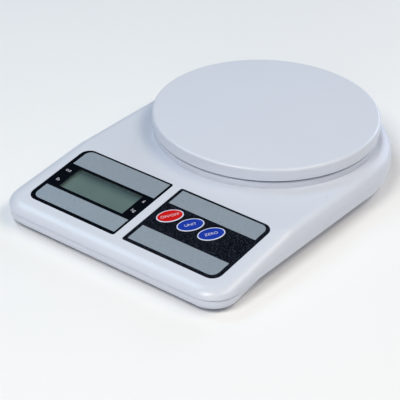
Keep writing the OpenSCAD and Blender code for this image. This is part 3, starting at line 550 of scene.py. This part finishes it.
KEY_RED = moulded_plastic("key_red", (0.52, 0.007, 0.006), (0.59, 0.010, 0.010),
    rough=(0.24, 0.32), grain=3000.0, depth=0.006, Specular_IOR_Level=0.2)
KEY_BLUE = moulded_plastic("key_blue", (0.008, 0.031, 0.34), (0.012, 0.044, 0.38),
    rough=(0.24, 0.32), grain=3000.0, depth=0.006, Specular_IOR_Level=0.2)
PALE_PRINT = moulded_plastic("pale_print", (0.60, 0.60, 0.68), (0.68, 0.68, 0.76),
    rough=(0.35, 0.45), grain=3000.0, depth=0.004)
RING_PRINT = moulded_plastic("ring_print", (0.69, 0.74, 0.95), (0.74, 0.79, 0.98),
    rough=(0.30, 0.40), grain=3000.0, depth=0.004)
# Painted shade: the white walls of the display opening are coloured as if they lay in shadow
OPENING_PAINTED_SHADE = moulded_plastic("opening_painted_shade", (0.115, 0.172, 0.190), (0.130, 0.195, 0.215),
    rough=(0.4, 0.5))
BLACK_FILM = film("black_film", (0.0012, 0.0022, 0.0046), (0.0022, 0.0036, 0.0068),
    rough=(0.14, 0.22), grain=1800.0, depth=0.002, Specular_IOR_Level=0.12)
GRAINED_FILM = film("grained_film", (0.0010, 0.0018, 0.0044), (0.058, 0.068, 0.102),
    rough=(0.22, 0.30), grain=1900.0, depth=0.008, low=0.52, high=0.74, Specular_IOR_Level=0.12)
SILVER_PRINT = film("silver_print", (0.285, 0.340, 0.392), (0.432, 0.490, 0.568),
    rough=(0.40, 0.50), grain=1700.0, depth=0.008, Metallic=0.35)
ZINC = metal("zinc_screw", (0.42, 0.43, 0.44), (0.60, 0.61, 0.62), (0.28, 0.42), across=1500.0, along=1500.0)
NICKEL = metal("nickel_contact", (0.58, 0.58, 0.57), (0.70, 0.70, 0.69), (0.18, 0.30))
STEEL_SHEET = metal("spacer_steel", (0.46, 0.47, 0.48), (0.58, 0.59, 0.60), (0.30, 0.45))
ALUMINIUM = metal("bar_aluminium", (0.62, 0.63, 0.65), (0.74, 0.75, 0.77), (0.28, 0.42))
DISPLAY_FACE = display_face()
CLEAR_PANE = clear_pane()
LAMINATE = board_laminate()
CELL_WRAP = cell_wrap()
STRIP = striped_rubber()

# CAD nodes that stay as they are and get a finish
NODE_FINISH = {
    "platter": PLATTER,
    "platform_carrier": CARRIER,
    "upper_spacer": STEEL_SHEET,
    "lower_spacer": STEEL_SHEET,
    "display_label": BLACK_FILM,
    "keypad_label": GRAINED_FILM,
    "display_window": CLEAR_PANE,
    "display_glass": DISPLAY_FACE,
    "display_holder": CARRIER,
    "contact_strip": STRIP,
    "main_board": LAMINATE,
    "board_parts": CASING,
    "switch_bodies": SWITCH,
    "power_plunger": CREAM,
    "mode_plunger": CREAM,
    "tare_plunger": CREAM,
    "battery_door": COVER,
    "positive_contact": NICKEL,
}
for node, finish in NODE_FINISH.items():
    nodes[node].data.materials.clear()
    nodes[node].data.materials.append(finish)


# Pieces that take over a CAD solid, welded so that it can be shaded smooth
def welded_copy(node, name, body, slot, *finishes, angle=28, shape=None):
    """Stands for a CAD node. The function shape works on its form, and a piece that bends has no body."""
    piece = new_object(name, nodes[node].data.copy())
    pick(piece)
    bpy.ops.mesh.customdata_custom_splitnormals_clear()
    edit_mode()
    bpy.ops.mesh.select_all(action="SELECT")
    bpy.ops.mesh.remove_doubles(threshold=WELD)
    bpy.ops.mesh.dissolve_limited(angle_limit=math.radians(0.2))
    object_mode()
    if shape:
        shape(piece)
        pick(piece)
    bpy.ops.object.shade_smooth_by_angle(angle=math.radians(angle))
    weigh = piece.modifiers.new("weigh", "WEIGHTED_NORMAL")
    weigh.keep_sharp = True
    weigh.weight = 80
    bpy.ops.object.modifier_apply(modifier=weigh.name)
    finish_piece(piece, body, slot, *finishes)
    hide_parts(node)
    return piece


def shade_opening(shell):
    """The walls of the display opening get a dark teal colour as painted shade, so that no white edge shows.
    """
    shell.data.materials.append(OPENING_PAINTED_SHADE)
    to_panel = PANEL.inverted()
    for face in shell.data.polygons:
        x, v, w = to_panel @ face.center / MM
        across = WINDOW_LEFT - WINDOW_MARGIN < x < WINDOW_RIGHT + WINDOW_MARGIN
        along = WINDOW_FRONT - WINDOW_MARGIN < v < WINDOW_BACK + WINDOW_MARGIN
        if across and along and w < WINDOW_RIM:
            face.material_index = 1


upper_shell = welded_copy("top_cover", "upper_shell", "housing", "cover_plastic", COVER)
shade_opening(upper_shell)
welded_copy("bottom_cover", "lower_tray", "housing", "cover_plastic", COVER)
welded_copy("link_contact", "link_spring", "housing", "contact_nickel", NICKEL, angle=70)
welded_copy("negative_contact", "minus_spring", "housing", "contact_nickel", NICKEL, angle=70)
welded_copy("load_cell_cable", "cell_cable", "housing", "cable_grey", SHEATH_WHITE, angle=60)
welded_copy("battery_wire_red", "red_wire", "housing", "wire_red", SHEATH_RED, angle=60)
welded_copy("battery_wire_black", "black_wire", "housing", "wire_black", SHEATH_BLACK, angle=60)
welded_copy("chip_cap", "chip_drop", "housing", "chip_resin", RESIN, angle=60)


# Screws
def cross_cutter(width, depth, facing):
    """A cross with four arms that narrows towards the bottom of the recess, half of it above the head."""
    arm = width * CROSS_ARM
    clear_selection()
    bpy.ops.mesh.primitive_cube_add(size=arm * MM)
    cutter = name_piece("cross_cutter")
    select_faces(cutter, lambda c, n: abs(n.z) < SIDE)
    bpy.ops.mesh.extrude_faces_move(TRANSFORM_OT_shrink_fatten={"value": (width - arm) / 2 * MM})
    object_mode()
    cutter.scale = (1, 1, 2 * depth / arm)
    settle(cutter)
    select_faces(cutter, lambda c, n: n.z * facing < -FACING)
    bpy.ops.transform.resize(value=(CROSS_BOTTOM, CROSS_BOTTOM, 1))
    object_mode()
    return cutter


def cross_recess(plane, facing, places, width, depth, edge):
    """Gives the heads a rounded edge and a cross recess. The screws stand upright on the plane."""
    def shape(piece):
        piece.data.transform(plane.inverted())
        top = facing * max(facing * point.co.z for point in piece.data.vertices)
        select_edges(piece, lambda a, b: abs(a.z - top) < TOUCH and abs(b.z - top) < TOUCH)
        bpy.ops.mesh.bevel(offset=edge * MM, segments=3, profile=0.5, affect="EDGES")
        object_mode()
        model = cross_cutter(width, depth, facing)
        row = []
        for x, y in places:
            cutter = new_object("cross_cutter", model.data.copy())
            cutter.data.transform(Matrix.Translation((x * MM, y * MM, top)))
            row.append(cutter)
        bpy.data.objects.remove(model)
        pick(row[0])
        for cutter in row[1:]:
            cutter.select_set(True)
        bpy.ops.object.join()
        carve = piece.modifiers.new("carve", "BOOLEAN")
        carve.operation = "DIFFERENCE"
        carve.solver = "EXACT"
        carve.object = row[0]
        pick(piece)
        bpy.ops.object.modifier_apply(modifier=carve.name)
        bpy.data.objects.remove(row[0])
        piece.data.transform(plane)
    return shape


for node, name, body, plane, facing, places, width, depth, edge in SCREW_HEADS:
    welded_copy(node, name, body, "zinc_screw", ZINC, angle=35,
        shape=cross_recess(plane, facing, places, width, depth, edge))


# Feet and cells
def ringed_foot(piece):
    """A foot with rounded edges and a ring pressed into its sole."""
    select_edges(piece, lambda a, b: a.z < FOOT_LOW * MM and b.z < FOOT_LOW * MM)
    bpy.ops.mesh.bevel(offset=FOOT_ROUND * MM, segments=3, profile=0.5, affect="EDGES")
    object_mode()
    select_faces(piece, lambda c, n: n.z < -FACING and c.z < TOUCH)
    bpy.ops.mesh.inset(thickness=SOLE_BORDER * MM)
    bpy.ops.mesh.inset(thickness=GROOVE_DEEP * MM, depth=-GROOVE_DEEP * MM)
    bpy.ops.mesh.inset(thickness=GROOVE_WIDE * MM)
    bpy.ops.mesh.inset(thickness=GROOVE_DEEP * MM, depth=GROOVE_DEEP * MM)
    object_mode()


def rolled_cell(piece):
    """A cell with the rolled ends of its can, and bare metal on its two ends."""
    select_edges(piece, lambda a, b: abs(a.x - b.x) < TOUCH)
    bpy.ops.mesh.bevel(offset=CELL_ROLL * MM, segments=4, profile=0.5, affect="EDGES")
    object_mode()
    for face in piece.data.polygons:
        face.material_index = 1 if abs(face.normal.x) > CELL_METAL else 0


for corner in ("front_left", "front_right", "back_left", "back_right"):
    welded_copy("foot_" + corner, "rubber_foot_" + corner, "housing", "foot_rubber", RUBBER, angle=35,
        shape=ringed_foot)
for place in ("front", "back"):
    welded_copy("battery_" + place, "cell_" + place, "housing", "cell_wrap", CELL_WRAP, NICKEL, angle=35,
        shape=rolled_cell)


# The bar of the load cell gets rings of points between its two holes, where the real bar bends as its right
# end goes down with the platform
def crossed_by(*places):
    """Gives a bar rings of points at places along X, so that it can bend there."""
    def shape(piece):
        for x in places:
            select_faces(piece, lambda c, n: True)
            bpy.ops.mesh.bisect(plane_co=(x * MM, 0, 0), plane_no=(1, 0, 0))
            object_mode()
    return shape


bar = welded_copy("load_cell", "bending_bar", None, "bar_aluminium", ALUMINIUM, angle=30,
    shape=crossed_by(-BEND_END, *BEND_STEPS, BEND_END))
coat = welded_copy("gauge_sealant", "bending_sealant", None, "sealant", SEALANT, angle=30,
    shape=crossed_by(*BEND_STEPS))
for piece in (bar, coat):
    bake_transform(piece)


# Print on the labels
def silver_stripe(name, slot, left, right, front, back, side, end):
    """A flat stripe of ink on the panel with its outer corner rounded."""
    middle_x = (right + left) / 2 * MM
    middle_v = (back + front) / 2 * MM
    clear_selection()
    bpy.ops.mesh.primitive_plane_add(size=1)
    piece = name_piece(name)
    piece.scale = ((right - left) * MM, (back - front) * MM, 1)
    piece.location = (middle_x, middle_v, PRINT_PROUD * MM)
    settle(piece)
    select_points(piece, lambda p: p.x * side > middle_x * side and p.y * end > middle_v * end)
    bpy.ops.mesh.bevel(offset=STRIPE_ROUND * MM, offset_type="OFFSET", segments=10, affect="VERTICES")
    bpy.ops.mesh.select_mode(type="FACE")
    bpy.ops.mesh.select_all(action="SELECT")
    down = (0, 0, -(PRINT_PROUD + PRINT_SUNK) * MM)
    bpy.ops.mesh.extrude_region_move(TRANSFORM_OT_translate={"value": down})
    bpy.ops.mesh.select_all(action="SELECT")
    bpy.ops.mesh.normals_make_consistent(inside=False)
    object_mode()
    piece.data.transform(PANEL)
    finish_piece(piece, "housing", slot, SILVER_PRINT)


def lettering(name, words, height, x, v, w, turn, body, slot):
    """Flat letters with their middle at x and v, standing on the height w above the panel."""
    clear_selection()
    bpy.ops.object.text_add()
    letters = name_piece(name).data
    letters.body = words
    letters.align_x = "CENTER"
    letters.align_y = "CENTER"
    letters.size = height * MM
    letters.extrude = LETTER_PROUD * MM / 2
    letters.offset = -LETTER_THINNER * height * MM
    bpy.ops.object.convert(target="MESH")
    piece = bpy.context.object
    middle = Matrix.Translation((x * MM, v * MM, (w + LETTER_PROUD / 2 - LETTER_SUNK) * MM))
    piece.data.transform(PANEL @ middle @ Matrix.Rotation(turn, 4, "Z"))
    finish_piece(piece, body, slot, PALE_PRINT)


for stripe in STRIPES:
    silver_stripe(*stripe)
for name, letters, height, x, v in UNIT_MARKS:
    lettering(name, letters, height, x, v, 0, 0, "housing", "label_display")


# Keys
def oval_cap():
    """A key cap, not yet on the panel: rounded edge, ring, and a sunk field that rises to its middle."""
    clear_selection()
    bpy.ops.mesh.primitive_cylinder_add(vertices=96, radius=1, depth=1)
    piece = name_piece("oval_cap")
    piece.scale = (KEY_LONG / 2 * MM, KEY_SHORT / 2 * MM, (KEY_TOP - KEY_BASE) * MM)
    piece.location = (0, 0, (KEY_TOP + KEY_BASE) / 2 * MM)
    settle(piece)
    top = KEY_TOP * MM
    select_edges(piece, lambda a, b: a.z > top - TOUCH and b.z > top - TOUCH)
    bpy.ops.mesh.bevel(offset=KEY_EDGE * MM, segments=4, profile=0.5, affect="EDGES")
    object_mode()
    select_faces(piece, lambda c, n: n.z > FACING and c.z > top - TOUCH)
    bpy.ops.mesh.inset(thickness=KEY_RING * MM)
    bpy.ops.mesh.inset(thickness=FIELD_WALL * MM, depth=-FIELD_SUNK * MM)
    for width, rise in FIELD_RISES:
        bpy.ops.mesh.inset(thickness=width * MM, depth=rise * MM)
    object_mode()
    field_long = (KEY_LONG / 2 - KEY_EDGE - KEY_RING) * MM
    field_short = (KEY_SHORT / 2 - KEY_EDGE - KEY_RING) * MM
    for face in piece.data.polygons:
        in_field = (face.center.x / field_long) ** 2 + (face.center.y / field_short) ** 2 <= 1
        if face.center.z < top - KEY_EDGE * MM:
            face.material_index = 2
        else:
            face.material_index = 0 if in_field else 1
    bpy.ops.object.shade_smooth_by_angle(angle=math.radians(40))
    return piece


# Each key: cap, node that it stands for, body, place along the panel, slot, finish, letters and their name
KEYS = [
    ("power_cap", "power_key", "power_button", 13.8, "key_red", KEY_RED, "ON/OFF", "power_word"),
    ("mode_cap", "mode_key", "mode_button", 28.7, "key_blue", KEY_BLUE, "UNIT", "unit_word"),
    ("tare_cap", "tare_key", "tare_button", 43.6, "key_blue", KEY_BLUE, "ZERO", "zero_word"),
]
cap_model = oval_cap()
for name, node, body, x, slot, finish, word, word_name in KEYS:
    cap = new_object(name, cap_model.data.copy())
    seat = PANEL @ Matrix.Translation((x * MM, KEY_V * MM, 0)) @ Matrix.Rotation(KEY_TURN, 4, "Z")
    cap.data.transform(seat)
    finish_piece(cap, body, slot, finish, RING_PRINT, SWITCH)
    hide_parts(node)
    lettering(word_name, word, KEY_WORD_HEIGHT, x, KEY_V, KEY_TOP - KEY_WORD_SUNK, KEY_TURN, body, slot)
bpy.data.objects.remove(cap_model)


# Floor, light and camera
def pale_floor():
    clear_selection()
    bpy.ops.mesh.primitive_plane_add(size=FLOOR_SIZE)
    floor = name_piece("floor")
    finish, tree, shader = start_material("pale_floor")
    skin = place_group(tree, MOULDED_SKIN, Grain=300.0, Spread=1.5)
    colour = mix_colour(tree, skin["Tone"], (0.865, 0.875, 0.89), (0.89, 0.90, 0.915))
    feed(tree, shader["Base Color"], colour)
    set_roughness(tree, shader, skin["Height"], (0.6, 0.7))
    floor.data.materials.append(finish)


def soft_box(name, bearing, height, size, power, colour):
    """A square soft box that looks at the scale.

    Its bearing from +X and height above the floor are in degrees, its size in metres, its power in watts."""
    lamp = bpy.data.lights.new(name, "AREA")
    lamp.shape = "SQUARE"
    lamp.size = size
    lamp.energy = power
    lamp.color = colour
    around = math.radians(bearing)
    up = math.radians(height)
    way = Vector((math.cos(up) * math.cos(around), math.cos(up) * math.sin(around), math.sin(up)))
    box = new_object(name, lamp)
    box.location = way * LIGHT_DISTANCE
    box.rotation_euler = (-way).to_track_quat("-Z", "Y").to_euler()


def soft_room(colour, strength, backdrop):
    """Dim room light, and a pale backdrop where the camera looks past the floor."""
    world = bpy.data.worlds.new("soft_room")
    world.use_nodes = True
    tree = world.node_tree
    room = tree.nodes["Background"]
    feed(tree, room.inputs["Color"], colour)
    feed(tree, room.inputs["Strength"], strength)
    seen = add(tree, "ShaderNodeBackground", {"Color": backdrop})[0]
    by_camera = add(tree, "ShaderNodeLightPath", {})["Is Camera Ray"]
    choice = add(tree, "ShaderNodeMixShader", {0: by_camera, 1: room.outputs[0], 2: seen})[0]
    feed(tree, tree.nodes["World Output"].inputs["Surface"], choice)
    bpy.context.scene.world = world


def photo_camera():
    """The camera looks along its azimuth and elevation, and is rolled about that line."""
    level = math.cos(CAMERA_ELEVATION)
    forward = Vector((-math.sin(CAMERA_AZIMUTH) * level, math.cos(CAMERA_AZIMUTH) * level,
        -math.sin(CAMERA_ELEVATION)))
    right = Vector((math.cos(CAMERA_AZIMUTH), math.sin(CAMERA_AZIMUTH), 0))
    up = right.cross(forward)
    side = math.cos(CAMERA_ROLL) * right + math.sin(CAMERA_ROLL) * up
    top = -math.sin(CAMERA_ROLL) * right + math.cos(CAMERA_ROLL) * up
    view = bpy.data.cameras.new("photo_camera")
    view.sensor_width = CAMERA_FILM
    view.sensor_fit = "HORIZONTAL"
    view.lens = CAMERA_LENS
    view.clip_start = 0.01
    view.clip_end = 50
    camera = new_object("photo_camera", view)
    turn = Matrix((side, top, -forward)).transposed().to_4x4()
    camera.matrix_world = Matrix.Translation(CAMERA_PLACE) @ turn
    bpy.context.scene.camera = camera


pale_floor()
soft_room((0.60, 0.78, 1.0), 0.09, (0.80, 0.82, 0.85))
soft_box("right_light", 0, 55, 0.6, 5.5, (1.0, 0.91, 0.77))
soft_box("far_right_light", 45, 55, 0.6, 4.6, (1.0, 0.89, 0.73))
soft_box("back_light", 90, 14, 1.0, 8.8, (0.65, 0.75, 0.97))
soft_box("front_light", 270, 55, 0.6, 11.4, (1.0, 0.975, 0.92))
soft_box("near_light", 300, 15, 0.8, 3.5, (1.0, 0.92, 0.90))
soft_box("left_light", 180, 55, 0.6, 4.9, (0.56, 0.79, 1.0))
photo_camera()
bpy.context.scene.view_settings.view_transform = "Standard"

clear_selection()
bpy.context.view_layer.update()
